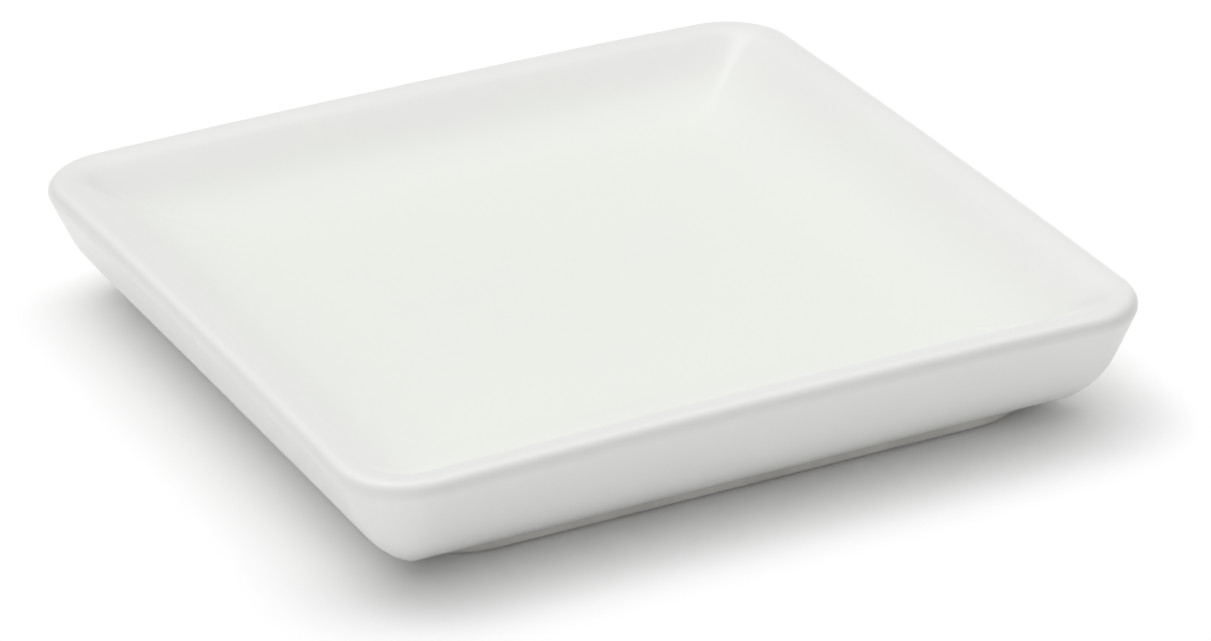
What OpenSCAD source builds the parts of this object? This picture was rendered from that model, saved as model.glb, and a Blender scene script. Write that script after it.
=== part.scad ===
// Square tray: a shallow porcelain dish with bowed-under walls, a rounded rim and a foot ring.
// Millimetres, +Z up, origin on the table under the middle of the tray.

/* [Tray] */
// Width over the rim, the same both ways
tray_w = 110; // [90:1:150]
// Height from the table to the top of the rim
tray_h = 17.2; // [15:0.1:21]
// Corner radius of the rim, seen from above
rim_corner_r = 9.8; // [8:0.1:20]

/* [Rim and walls] */
// Width of the flat along the top of the rim, between its two roundings
rim_flat = 0.2; // [0.2:0.1:3]
// Rounding of the rim on the outside
lip_out_r = 1.7; // [1:0.1:2.5]
// Rounding of the rim on the inside
lip_in_r = 6; // [3:0.1:8]
// Lean of the outer wall from upright, in degrees
wall_lean = 22; // [14:1:28]
// Rounding of the outer wall, down to the foot ring
bend_r = 14; // [10:0.1:17]

/* [Well] */
// Depth of the well below the rim
well_d = 7.4; // [6:0.1:10]
// Lean of the well's wall from upright, in degrees
well_lean = 59; // [50:1:64]
// Rounding between the well's wall and its floor
cove_r = 28; // [14:0.1:34]

/* [Foot ring] */
// Height of the foot ring
foot_h = 1.7; // [1.2:0.1:2.2]
// Distance of the foot ring in from the rim
foot_inset = 9.5; // [8.6:0.1:11]
// Corner radius around the foot ring
foot_corner_r = 12; // [8:0.1:16]
// Width of the foot ring
foot_w = 4; // [2:0.1:8]
// Depth of the recess inside the foot ring
recess_d = 3; // [1:0.1:4]
// Corner radius inside the foot ring
recess_corner_r = 8; // [4:0.1:10]

/* [Glaze] */
// Thickness of the glaze
glaze_t = 0.4; // [0.2:0.05:0.6]

/* [Hidden] */
$fn = 96;

// A straight stretch lies this far inside the tangent of its round, so that the two meet in a clean edge
hair = 0.005;
half_w = tray_w / 2;
floor_z = tray_h - well_d;
// Sections run this far in, past the middle of the tray, and the cuts run up clear above the rim
past_mid = half_w + 1;
over_z = 2 * tray_h;

// Sections have x running inwards from the rim's outermost line and y running up.
// Outer wall: it leans down from the lip's round
out_n = [-cos(wall_lean), -sin(wall_lean)];
lip_out_c = [lip_out_r, tray_h - lip_out_r];
wall_top = lip_out_c + lip_out_r * out_n;
// The bend is the round that starts on the wall and ends at the top of the foot ring
wall_down = [sin(wall_lean), -cos(wall_lean)];
wall_end = [foot_inset, foot_h];
wall_span = wall_top - wall_end;
bend = min(bend_r, wall_span * wall_span / (2 * wall_span * out_n) - hair);
bend_reach = wall_span - bend * out_n;
bend_fall = bend_reach * wall_down;
bend_start = -bend_fall - sqrt(bend_fall * bend_fall - bend_reach * bend_reach + bend * bend);
bend_c = wall_top + bend_start * wall_down - bend * out_n;

// Wall of the well: it leans between the lip's round and the cove
in_n = [cos(well_lean), sin(well_lean)];
lip_in_c = [lip_out_r + rim_flat, tray_h - lip_in_r];
well_top = lip_in_c + lip_in_r * in_n;
// The cove fits between the floor and the top of the well's wall
cove = min(cove_r, (well_top.y - floor_z) / (1 - in_n.y) - hair);
cove_y = floor_z + cove;
cove_c = [well_top.x + (cove - in_n.y * (cove_y - well_top.y)) / in_n.x, cove_y];

// The foot reaches up into the body, where the walls hide its top
foot_top = (foot_h + floor_z) / 2;
recess_inset = foot_inset + foot_w;

// Outside of the tray from rim to base, skin under the finished surface
module outer_section(skin) {
    lip = lip_out_r - skin;
    under = bend - skin;
    base_y = bend_c.y - under + hair;
    top_y = tray_h - skin - hair;
    polygon([
        lip_out_c + (lip - hair) * out_n,
        bend_c + (under - hair) * out_n,
        [bend_c.x, base_y],
        [past_mid, base_y],
        [past_mid, top_y],
        [lip_out_c.x, top_y]
    ]);
    translate(lip_out_c) circle(lip);
    intersection() {
        translate(bend_c) circle(under);
        square([past_mid, wall_top.y]);
    }
}

// Space of the well and above it, widened by skin into the wall and the floor
module well_section(skin) {
    lip = lip_in_r - skin;
    round = cove + skin;
    floor_y = floor_z - skin + hair;
    difference() {
        union() {
            polygon([
                [lip_in_c.x, over_z],
                lip_in_c,
                lip_in_c + (lip - hair) * in_n,
                cove_c - (round - hair) * in_n,
                [cove_c.x, floor_y],
                [past_mid, floor_y],
                [past_mid, over_z]
            ]);
            translate(cove_c) circle(round);
        }
        translate(lip_in_c) circle(lip);
    }
}

// Takes a section along two facing sides of the tray
module side_run() {
    translate([0, half_w, 0]) rotate([90, 0, 0]) linear_extrude(tray_w)
        for (turn = [0, 1]) mirror([turn, 0]) translate([-half_w, 0]) children();
}

// Takes a section round the tray: straight along the sides and turned at the corners
module square_sweep() {
    run = tray_w - 2 * rim_corner_r;
    intersection() {
        side_run() children();
        rotate(90) side_run() children();
        linear_extrude(over_z) {
            square([tray_w, run], center = true);
            square([run, tray_w], center = true);
        }
    }
    for (side = [0 : 3]) rotate(90 * side)
        translate([run / 2, run / 2, 0]) rotate_extrude(angle = 90) intersection() {
            translate([rim_corner_r, 0]) mirror([1, 0]) children();
            square([rim_corner_r, over_z]);
        }
}

module outer_form(skin) {
    square_sweep() outer_section(skin);
}

module well(skin) {
    square_sweep() well_section(skin);
}

// Upright block on a rounded square that lies inset from the rim
module rounded_block(inset, corner_r, height) {
    side = tray_w - 2 * inset;
    linear_extrude(height) {
        square([side, side - 2 * corner_r], center = true);
        square([side - 2 * corner_r, side], center = true);
        for (x = [-1, 1], y = [-1, 1])
            translate([x, y] * (side / 2 - corner_r)) circle(corner_r);
    }
}

module foot_block() {
    rounded_block(foot_inset, foot_corner_r, foot_top);
}

// Fired clay: floor, walls, rim and the bare foot ring
module porcelain_body() {
    color([0.87, 0.86, 0.83]) difference() {
        union() {
            outer_form(glaze_t);
            foot_block();
        }
        well(glaze_t);
        rounded_block(recess_inset, recess_corner_r, recess_d + glaze_t);
    }
}

// Glass skin over the well, the rim and the outer walls, ending at the foot ring
module glaze_coat() {
    color([0.93, 0.94, 0.91]) difference() {
        outer_form(0);
        well(0);
        difference() {
            outer_form(glaze_t);
            well(glaze_t);
        }
        foot_block();
    }
}

// Glaze on the base, inside the foot ring
module base_glaze() {
    color([0.93, 0.94, 0.91]) translate([0, 0, recess_d])
        rounded_block(recess_inset, recess_corner_r, glaze_t);
}

porcelain_body();
glaze_coat();
base_glaze();
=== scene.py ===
"""Square porcelain tray: glazed shell, bare foot and glazed base, on a white studio floor."""
import math

import bmesh
import bpy
from mathutils import Matrix, Vector, noise


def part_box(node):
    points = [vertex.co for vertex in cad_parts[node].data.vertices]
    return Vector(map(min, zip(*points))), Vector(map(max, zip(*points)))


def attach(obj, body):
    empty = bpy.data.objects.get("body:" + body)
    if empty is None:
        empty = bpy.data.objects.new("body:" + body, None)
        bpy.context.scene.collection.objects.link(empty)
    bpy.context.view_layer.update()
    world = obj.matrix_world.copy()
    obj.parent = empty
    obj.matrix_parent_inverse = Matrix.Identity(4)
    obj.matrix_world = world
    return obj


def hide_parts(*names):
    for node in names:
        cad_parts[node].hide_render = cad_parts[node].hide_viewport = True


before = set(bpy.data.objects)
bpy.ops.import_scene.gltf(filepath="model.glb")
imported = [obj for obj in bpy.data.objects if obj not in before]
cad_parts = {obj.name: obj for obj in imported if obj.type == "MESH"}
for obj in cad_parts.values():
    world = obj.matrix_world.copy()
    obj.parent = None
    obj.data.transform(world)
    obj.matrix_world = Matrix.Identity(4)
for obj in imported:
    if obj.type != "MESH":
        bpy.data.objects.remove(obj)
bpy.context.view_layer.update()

MM = 0.001

# Sizes that the solids fix
coat_low, coat_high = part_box("glaze_coat")
base_low, base_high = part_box("base_glaze")
HALF_W = coat_high.x
TRAY_H = coat_high.z
RECESS_D = base_low.z
GLAZE_T = base_high.z - base_low.z
RECESS_INSET = HALF_W - base_high.x

# Section of the rim and walls, inset running inwards from the rim's outermost line
RIM_CORNER_R = 9.8 * MM
RIM_FLAT = 0.2 * MM
LIP_OUT_R = 1.7 * MM
LIP_IN_R = 6 * MM
WALL_LEAN = math.radians(22)
BEND_R = 14 * MM
FOOT_H = 1.7 * MM
FOOT_INSET = 9.5 * MM
FOOT_CORNER_R = 12 * MM
RECESS_CORNER_R = 8 * MM

# Section of the well
WELL_D = 7.4 * MM
WELL_LEAN = math.radians(59)
COVE_R = 28 * MM
FLOOR_Z = TRAY_H - WELL_D
FLOOR_CORNER_R = 1 * MM
CORNER_BLEND = 1 * MM

# Sag of the rim's corners below the middles of its sides, from the firing. It starts at this share of the
# way out from the middle of the tray, and is full one span further out
CORNER_SAG = 0.6 * MM
SAG_START = 0.5
SAG_SPAN = 0.35

# Rounding of the foot ring's underside to either side, and of the base glaze's edge
FOOT_ROUND_W = 1.8 * MM
FOOT_ROUND_H = 1 * MM
GLAZE_EDGE_R = 0.15 * MM

# Unevenness of the cast walls and of the melted glaze, and the height over the foot at which it is full
CAST_WAVE = 0.10 * MM
CAST_PITCH = 30 * MM
MELT_WAVE = 0.02 * MM
MELT_PITCH = 7 * MM
MELT_SHIFT = Vector((7, 3, 5))
WAVE_FADE_H = 2 * MM

# Glaze colours where it is thin, even and pooled, and the depth below the rim's top down to which it is thin.
# The thin colour is greyer partly as painted shade for the dimmer light on the rim's crest
# Thin glaze colour: partly the glaze's own, partly painted shade on the rim's crest
GLAZE_THIN_SHADED = (0.803, 0.809, 0.787, 1)
GLAZE_EVEN = (0.822, 0.829, 0.804, 1)
GLAZE_POOL = (0.828, 0.852, 0.797, 1)
RIM_SHADE_D = 0.8 * MM

# Mesh steps round the tray
SIDE_STEPS = 48
CORNER_STEPS = 20

# Mesh steps along the section
FLOOR_RINGS = 20
COVE_STEPS = 20
WELL_STEPS = 4
LIP_IN_STEPS = 12
LIP_OUT_STEPS = 14
WALL_STEPS = 5
BEND_STEPS = 10
SKIRT_RINGS = 8
FOOT_STEPS = 6
EDGE_STEPS = 4

# Direction from the bend's centre, in degrees, past which the rings gather in to the outline of the foot
SKIRT_START = 225


def polar(centre, radius, angle):
    """Point of a section at a distance and an angle from a centre."""
    return Vector((centre[0] + radius * math.cos(angle), centre[1] + radius * math.sin(angle)))


def arc(centre, radius, start, end, steps):
    """Points of a round stretch of a section, both ends included."""
    turn = math.radians(end - start)
    first = math.radians(start)
    return [polar(centre, radius, first + turn * i / steps) for i in range(steps + 1)]


def stretch(start, end, steps):
    """Points between two section points, both left out."""
    return [Vector(start).lerp(Vector(end), i / steps) for i in range(1, steps)]


def wall_rounds():
    """Centres of the outer lip and of the bend, which runs from the leaning wall to the foot's top."""
    out = Vector((-math.cos(WALL_LEAN), -math.sin(WALL_LEAN)))
    down = Vector((math.sin(WALL_LEAN), -math.cos(WALL_LEAN)))
    lip = Vector((LIP_OUT_R, TRAY_H - LIP_OUT_R))
    top = lip + LIP_OUT_R * out
    reach = top - Vector((FOOT_INSET, FOOT_H)) - BEND_R * out
    fall = reach.dot(down)
    start = -fall - math.sqrt(fall * fall - reach.dot(reach) + BEND_R * BEND_R)
    return lip, top + start * down - BEND_R * out


def well_rounds():
    """Centres of the inner lip and of the cove, between which the well's wall leans."""
    inward = Vector((math.cos(WELL_LEAN), math.sin(WELL_LEAN)))
    lip = Vector((LIP_OUT_R + RIM_FLAT, TRAY_H - LIP_IN_R))
    top = lip + LIP_IN_R * inward
    cove_z = FLOOR_Z + COVE_R
    cove_x = top.x + (COVE_R - inward.y * (cove_z - top.y)) / inward.x
    return lip, Vector((cove_x, cove_z))


LIP_OUT, BEND = wall_rounds()
LIP_IN, COVE = well_rounds()


def ring_points(inset, z, corner_r):
    """One turn round the tray: corner by corner, each followed by the straight side after it."""
    reach = HALF_W - inset - corner_r
    corner = []
    for i in range(CORNER_STEPS + 1):
        turn = math.pi / 2 * i / CORNER_STEPS
        corner.append(Vector((reach + corner_r * math.cos(turn), reach + corner_r * math.sin(turn), z)))
    side = [corner[-1].lerp(Vector((-corner[-1].x, corner[-1].y, z)), i / SIDE_STEPS)
            for i in range(1, SIDE_STEPS)]
    found = []
    for quarter in range(4):
        turned = Matrix.Rotation(quarter * math.pi / 2, 3, "Z")
        found += [turned @ p for p in corner + side]
    return found


def flat_rings(z, inset, corner_r):
    """Rings of a flat round square from next to its middle out to its edge, edge left out."""
    found = []
    for i in range(1, FLOOR_RINGS):
        share = i / FLOOR_RINGS
        found.append(ring_points(HALF_W - (HALF_W - inset) * share, z, corner_r * share))
    return found


def well_corner(inset):
    """Corner radius of the well: as the rim's until it runs out into the small one of the floor."""
    spare = RIM_CORNER_R - inset - FLOOR_CORNER_R
    return FLOOR_CORNER_R + (spare + math.hypot(spare, CORNER_BLEND)) / 2


def well_skin(under):
    """Rings of the well from next to the middle of its floor up to the rim, under the finished surface."""
    lean = math.degrees(WELL_LEAN)
    cove = arc(COVE, COVE_R + under, 270, 180 + lean, COVE_STEPS)
    lip = arc(LIP_IN, LIP_IN_R - under, lean, 90, LIP_IN_STEPS)
    wall = stretch(cove[-1], lip[0], WELL_STEPS)
    floor = flat_rings(FLOOR_Z - under, COVE.x, well_corner(COVE.x))
    return floor + [ring_points(p.x, p.y, well_corner(p.x)) for p in cove + wall + lip]


def belly_z(point, under):
    """Height of the bend over a place in plan, by its distance in from the rim."""
    axis = HALF_W - RIM_CORNER_R
    past = Vector((abs(point.x) - axis, abs(point.y) - axis))
    inset = RIM_CORNER_R - (past.length if min(past) > 0 else max(past))
    return BEND.y - math.sqrt((BEND_R - under) ** 2 - max(BEND.x - inset, 0) ** 2)


def wall_skin(under):
    """Rings of the outside from the rim down the wall and along the bend to the outline of the foot."""
    lean = math.degrees(WALL_LEAN)
    lip = arc(LIP_OUT, LIP_OUT_R - under, 90, 180 + lean, LIP_OUT_STEPS)
    turn = arc(BEND, BEND_R - under, 180 + lean, SKIRT_START, BEND_STEPS)
    wall = stretch(lip[-1], turn[0], WALL_STEPS)
    rings = [ring_points(p.x, p.y, RIM_CORNER_R - p.x) for p in lip + wall + turn]
    last, foot = rings[-1], ring_points(FOOT_INSET, 0, FOOT_CORNER_R)
    for i in range(1, SKIRT_RINGS + 1):
        skirt = [a.lerp(b, i / SKIRT_RINGS) for a, b in zip(last, foot)]
        rings.append([Vector((p.x, p.y, belly_z(p, under))) for p in skirt])
    return rings


def close_loft(name, first_z, rings, last_z):
    """Closed mesh over rings of points, from a middle point at one end to one at the other."""
    bm = bmesh.new()
    first = bm.verts.new((0, 0, first_z))
    rows = [[bm.verts.new(p) for p in ring] for ring in rings]
    last = bm.verts.new((0, 0, last_z))
    count = len(rows[0])
    for i in range(count):
        j = (i + 1) % count
        bm.faces.new((first, rows[0][i], rows[0][j]))
        for inner, outer in zip(rows, rows[1:]):
            bm.faces.new((inner[i], outer[i], outer[j], inner[j]))
        bm.faces.new((rows[-1][i], last, rows[-1][j]))
    bmesh.ops.recalc_face_normals(bm, faces=bm.faces)
    mesh = bpy.data.meshes.new(name)
    bm.to_mesh(mesh)
    bm.free()
    mesh.shade_smooth()
    return mesh


def mark_glaze_and_crest_shade(mesh):
    """Marks how deep the glaze lies: 0 where it runs off the rim, where its greyer colour is partly painted
    shade, 0.5 on the walls, 1 where it pools.
    """
    marks = mesh.attributes.new("glaze_depth_and_crest_shade", "FLOAT", "POINT")
    for v, mark in zip(mesh.vertices, marks.data):
        drop = TRAY_H - v.co.z
        # Greying of the crest: partly thin glaze, partly painted shade
        crest = max(0.0, 1 - drop / RIM_SHADE_D)
        pool = min(1.0, drop / WELL_D) if v.normal.z > 0 else 0.0
        mark.value = 0.5 + 0.5 * pool ** 2 - 0.5 * crest * crest * (3 - 2 * crest)


def sag(mesh):
    """Lowers the rim towards its corners, least near the table."""
    for v in mesh.vertices:
        near, far = sorted((abs(v.co.x) / HALF_W, abs(v.co.y) / HALF_W))
        share = min(1.0, max(0.0, far - SAG_START) / SAG_SPAN)
        v.co.z -= CORNER_SAG * near ** 2 * share * (v.co.z / TRAY_H) ** 2


def uneven(mesh, lowest):
    """Lets both faces of the glaze waver by a hair, always into its own thickness, fading out at the foot."""
    shifts = []
    for v in mesh.vertices:
        cast = 0.5 + 0.5 * noise.noise(v.co / CAST_PITCH)
        melt = 0.5 + 0.5 * noise.noise(v.co / MELT_PITCH + MELT_SHIFT)
        fade = min(1.0, max(0.0, (v.co.z - lowest) / WAVE_FADE_H))
        shifts.append(v.normal * (-fade * (CAST_WAVE * cast + MELT_WAVE * melt)))
    for v, shift in zip(mesh.vertices, shifts):
        v.co += shift


def add_piece(name, mesh, material, node):
    """Puts a finished mesh into the scene in place of its solid."""
    piece = bpy.data.objects.new(name, mesh)
    bpy.context.scene.collection.objects.link(piece)
    mesh.materials.append(material)
    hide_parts(node)
    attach(piece, "root")


def glaze_coat(material):
    """Glass skin over the well, the rim and the outer walls, down to the foot."""
    outside = well_skin(0) + wall_skin(0)
    inside = well_skin(GLAZE_T) + wall_skin(GLAZE_T)
    mesh = close_loft("glaze_shell", FLOOR_Z, outside + inside[::-1], FLOOR_Z - GLAZE_T)
    mark_glaze_and_crest_shade(mesh)
    sag(mesh)
    uneven(mesh, FOOT_H)
    add_piece("glaze_shell", mesh, material, "glaze_coat")


def porcelain_body(material):
    """Fired clay under the glaze, with the bare foot ring that the tray stands on."""
    ceiling = RECESS_D + GLAZE_T
    heel = [(FOOT_INSET, p) for p in arc((1, 1), 1, 180, 270, FOOT_STEPS)]
    toe = [(RECESS_INSET, p) for p in arc((-1, 1), 1, 270, 360, FOOT_STEPS)]
    foot = []
    for edge, p in heel + toe:
        inset = edge + FOOT_ROUND_W * p.x
        share = (inset - FOOT_INSET) / (RECESS_INSET - FOOT_INSET)
        corner_r = FOOT_CORNER_R + (RECESS_CORNER_R - FOOT_CORNER_R) * share
        foot.append(ring_points(inset, FOOT_ROUND_H * p.y, corner_r))
    foot.append(ring_points(RECESS_INSET, ceiling, RECESS_CORNER_R))
    bottom = flat_rings(ceiling, RECESS_INSET, RECESS_CORNER_R)[::-1]
    rings = well_skin(GLAZE_T) + wall_skin(GLAZE_T) + foot + bottom
    mesh = close_loft("clay_body", FLOOR_Z - GLAZE_T, rings, ceiling)
    sag(mesh)
    add_piece("clay_body", mesh, material, "porcelain_body")


def base_glaze(material):
    """Field of glaze inside the foot ring, with a soft edge."""
    over_z = RECESS_D + GLAZE_T
    inner = RECESS_INSET + GLAZE_EDGE_R
    edge = arc((inner, RECESS_D + GLAZE_EDGE_R), GLAZE_EDGE_R, 270, 180, EDGE_STEPS)
    rim = [ring_points(p.x, p.y, RECESS_CORNER_R + RECESS_INSET - p.x) for p in edge]
    rim.append(ring_points(RECESS_INSET, over_z, RECESS_CORNER_R))
    under = flat_rings(RECESS_D, inner, RECESS_CORNER_R)
    over = flat_rings(over_z, RECESS_INSET, RECESS_CORNER_R)[::-1]
    mesh = close_loft("base_field", RECESS_D, under + rim + over, over_z)
    add_piece("base_field", mesh, material, "base_glaze")


def new_material(name):
    """New node material, with its nodes, links and main shader."""
    material = bpy.data.materials.new(name)
    material.use_nodes = True
    nodes = material.node_tree.nodes
    return material, nodes, material.node_tree.links, nodes["Principled BSDF"]


def add_math(nodes, links, operation, first, second):
    """Math node on an output and on another output or a number."""
    node = nodes.new("ShaderNodeMath")
    node.operation = operation
    links.new(first, node.inputs[0])
    if isinstance(second, float):
        node.inputs[1].default_value = second
    else:
        links.new(second, node.inputs[1])
    return node.outputs[0]


def glaze_material():
    """White glaze: a faint green tint where it pools, greyer where it is thin on the rim's crest, which is
    partly painted shade, with the ripple of a melt.
    """
    material, nodes, links, shader = new_material("white_glaze")
    place = nodes.new("ShaderNodeTexCoord")
    cloud = nodes.new("ShaderNodeTexNoise")
    cloud.inputs["Scale"].default_value = 45
    cloud.inputs["Detail"].default_value = 3
    depth = nodes.new("ShaderNodeAttribute")
    depth.attribute_name = "glaze_depth_and_crest_shade"
    streak = nodes.new("ShaderNodeMapRange")
    streak.inputs["To Min"].default_value = -0.3
    streak.inputs["To Max"].default_value = 0.3
    tint = nodes.new("ShaderNodeValToRGB")
    tint.color_ramp.elements[0].color = GLAZE_THIN_SHADED
    tint.color_ramp.elements[1].color = GLAZE_POOL
    tint.color_ramp.elements.new(0.5).color = GLAZE_EVEN
    gloss = nodes.new("ShaderNodeMapRange")
    gloss.inputs["To Min"].default_value = 0.29
    gloss.inputs["To Max"].default_value = 0.35
    ripple = nodes.new("ShaderNodeTexNoise")
    ripple.inputs["Scale"].default_value = 260
    ripple.inputs["Detail"].default_value = 2
    bump = nodes.new("ShaderNodeBump")
    bump.inputs["Strength"].default_value = 0.25
    bump.inputs["Distance"].default_value = 0.00005
    for texture in (cloud, ripple):
        links.new(place.outputs["Object"], texture.inputs["Vector"])
    links.new(cloud.outputs["Fac"], streak.inputs["Value"])
    clouded = add_math(nodes, links, "ADD", depth.outputs["Fac"], streak.outputs["Result"])
    links.new(clouded, tint.inputs["Fac"])
    links.new(cloud.outputs["Fac"], gloss.inputs["Value"])
    links.new(ripple.outputs["Fac"], bump.inputs["Height"])
    links.new(tint.outputs["Color"], shader.inputs["Base Color"])
    links.new(gloss.outputs["Result"], shader.inputs["Roughness"])
    links.new(bump.outputs["Normal"], shader.inputs["Normal"])
    shader.inputs["IOR"].default_value = 1.5
    return material


def clay_material():
    """Bare fired porcelain: matt, a little warmer than the glaze, with a fine sandy grain, and greyed partly
    as painted shade on the foot ring under the wall.
    """
    material, nodes, links, shader = new_material("bare_porcelain")
    place = nodes.new("ShaderNodeTexCoord")
    stain = nodes.new("ShaderNodeTexNoise")
    stain.inputs["Scale"].default_value = 120
    stain.inputs["Detail"].default_value = 5
    tint = nodes.new("ShaderNodeValToRGB")
    # Greys of the clay: partly its own tone, partly painted shade for the foot ring under the overhanging
    # wall
    tint.color_ramp.elements[0].position = 0.35
    tint.color_ramp.elements[0].color = (0.65, 0.635, 0.60, 1)
    tint.color_ramp.elements[1].position = 0.65
    tint.color_ramp.elements[1].color = (0.75, 0.735, 0.695, 1)
    grain = nodes.new("ShaderNodeTexNoise")
    grain.inputs["Scale"].default_value = 4000
    grain.inputs["Detail"].default_value = 4
    rough = nodes.new("ShaderNodeMapRange")
    rough.inputs["To Min"].default_value = 0.7
    rough.inputs["To Max"].default_value = 0.9
    bump = nodes.new("ShaderNodeBump")
    bump.inputs["Strength"].default_value = 0.5
    bump.inputs["Distance"].default_value = 0.00005
    for texture in (stain, grain):
        links.new(place.outputs["Object"], texture.inputs["Vector"])
    links.new(stain.outputs["Fac"], tint.inputs["Fac"])
    links.new(grain.outputs["Fac"], rough.inputs["Value"])
    links.new(grain.outputs["Fac"], bump.inputs["Height"])
    links.new(tint.outputs["Color"], shader.inputs["Base Color"])
    links.new(rough.outputs["Result"], shader.inputs["Roughness"])
    links.new(bump.outputs["Normal"], shader.inputs["Normal"])
    return material


# Studio: white floor under a wide sky of soft light
FLOOR_SIDE = 6.0
FLOOR_COLOUR = (0.96, 0.96, 0.96, 1)
FLOOR_LIFT = 0.03

# Each soft light: elevation and azimuth in degrees, how closely it gathers, and strength at its middle
SOFT_LIGHTS = {
    "overhead": (90, 0, 6, 0.40),
    "right_high": (60, 15, 8, 1.92),
    "back_high": (60, 105, 8, 1.42),
    "left_high": (60, 195, 8, 0.98),
    "back_mid": (25, 90, 8, 0.29),
    "back_low": (5, 45, 12, 0.95),
    "left_low": (5, 180, 12, 0.50),
    "front_low": (0, 225, 16, 2.72),
    "right_low": (0, 270, 16, 0.88),
    "back_lamp": (66, 120, 50, 2.60),
}


def studio_floor():
    """Plain pale floor, lifted a little where the camera sees it so that it ends up white."""
    mesh = bpy.data.meshes.new("studio_floor")
    half = FLOOR_SIDE / 2
    corners = [(-half, -half, 0), (half, -half, 0), (half, half, 0), (-half, half, 0)]
    mesh.from_pydata(corners, [], [(0, 1, 2, 3)])
    floor = bpy.data.objects.new("studio_floor", mesh)
    bpy.context.scene.collection.objects.link(floor)
    material, nodes, links, shader = new_material("white_floor")
    shader.inputs["Base Color"].default_value = FLOOR_COLOUR
    shader.inputs["Roughness"].default_value = 1
    shader.inputs["Specular IOR Level"].default_value = 0
    shader.inputs["Emission Color"].default_value = (1, 1, 1, 1)
    path = nodes.new("ShaderNodeLightPath")
    seen = path.outputs["Is Camera Ray"]
    for other in ("Is Glossy Ray", "Is Transmission Ray"):
        seen = add_math(nodes, links, "MAXIMUM", seen, path.outputs[other])
    lift = add_math(nodes, links, "MULTIPLY", seen, FLOOR_LIFT)
    links.new(lift, shader.inputs["Emission Strength"])
    mesh.materials.append(material)


def soft_sky():
    """Surroundings that are brighter towards each soft light and fade out smoothly between them."""
    world = bpy.data.worlds.new("soft_sky")
    world.use_nodes = True
    bpy.context.scene.world = world
    nodes, links = world.node_tree.nodes, world.node_tree.links
    place = nodes.new("ShaderNodeTexCoord")
    total = None
    for elevation, azimuth, gather, strength in SOFT_LIGHTS.values():
        up, round_z = math.radians(elevation), math.radians(azimuth)
        towards = nodes.new("ShaderNodeVectorMath")
        towards.operation = "DOT_PRODUCT"
        level = math.cos(up)
        towards.inputs[1].default_value = (level * math.cos(round_z), level * math.sin(round_z), math.sin(up))
        links.new(place.outputs["Generated"], towards.inputs[0])
        facing = add_math(nodes, links, "MAXIMUM", towards.outputs["Value"], 0.0)
        glow = add_math(nodes, links, "POWER", facing, float(gather))
        light = add_math(nodes, links, "MULTIPLY", glow, strength)
        total = light if total is None else add_math(nodes, links, "ADD", total, light)
    back = nodes["Background"]
    back.inputs["Color"].default_value = (1, 1, 1, 1)
    links.new(total, back.inputs["Strength"])


# Camera at the photograph's angle
CAMERA_AT = Vector((-292.00, -606.60, 329.38)) * MM
CAMERA_YAW = -0.45334
CAMERA_PITCH = 0.45026
CAMERA_ROLL = -0.02292
CAMERA_LENS = 171.10
SENSOR_W = 36.0


def camera():
    """Camera placed by the outline in the photograph: turned, then tipped down, then rolled."""
    data = bpy.data.cameras.new("photo_camera")
    data.sensor_fit = "HORIZONTAL"
    data.sensor_width = SENSOR_W
    data.lens = CAMERA_LENS
    data.clip_start = 0.01
    made = bpy.data.objects.new("photo_camera", data)
    yaw = Matrix.Rotation(CAMERA_YAW, 4, "Z")
    pitch = Matrix.Rotation(math.pi / 2 - CAMERA_PITCH, 4, "X")
    roll = Matrix.Rotation(CAMERA_ROLL, 4, "Z")
    made.matrix_world = Matrix.Translation(CAMERA_AT) @ yaw @ pitch @ roll
    bpy.context.scene.collection.objects.link(made)
    bpy.context.scene.camera = made


glaze = glaze_material()
glaze_coat(glaze)
porcelain_body(clay_material())
base_glaze(glaze)
studio_floor()
soft_sky()
camera()
bpy.context.scene.view_settings.view_transform = "Standard"
